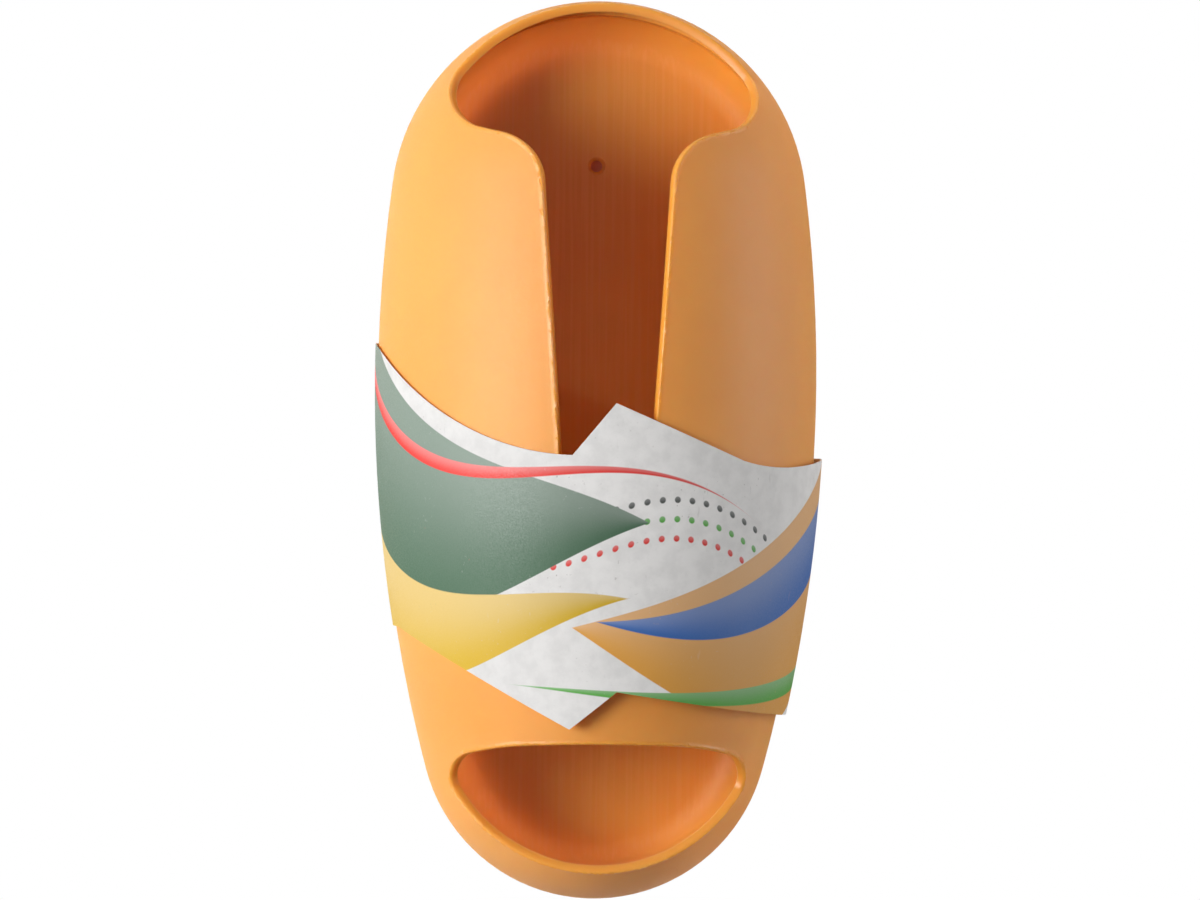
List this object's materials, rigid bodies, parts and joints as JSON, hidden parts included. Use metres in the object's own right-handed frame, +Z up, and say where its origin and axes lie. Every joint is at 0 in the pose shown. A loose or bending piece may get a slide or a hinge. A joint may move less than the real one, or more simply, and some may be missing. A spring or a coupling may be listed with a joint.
{
  "type": "wall-mounted bag dispenser",
  "caption": "Wall-hung plastic pod for carrier or waste bags: wide mouth over a narrowing slot, lower opening to pull bags from, and a card sleeve that slides off.",
  "frame": {"origin": "axis of the screw hole, on the plane of the wall that the back rests against", "axes": "+Z up along the pod, -Y out of the wall towards the user, +X to the right seen from the front"},
  "size_m": [0.1448, 0.0949, 0.29],
  "materials": {
    "pod_plastic": "satin moulded plastic, warm yellow-orange",
    "printed_card": "uncoated off-white printed card"
  },
  "bodies": {
    "pod": {"front_shell": "pod_plastic", "rear_shell": "pod_plastic"},
    "sleeve": {"card_sleeve": "printed_card"}
  },
  "joints": [
    {"name": "sleeve_slide", "type": "slide", "parent": "pod", "child": "sleeve", "axis": [0, 0, -1], "range_m": [0, 0.185]}
  ]
}
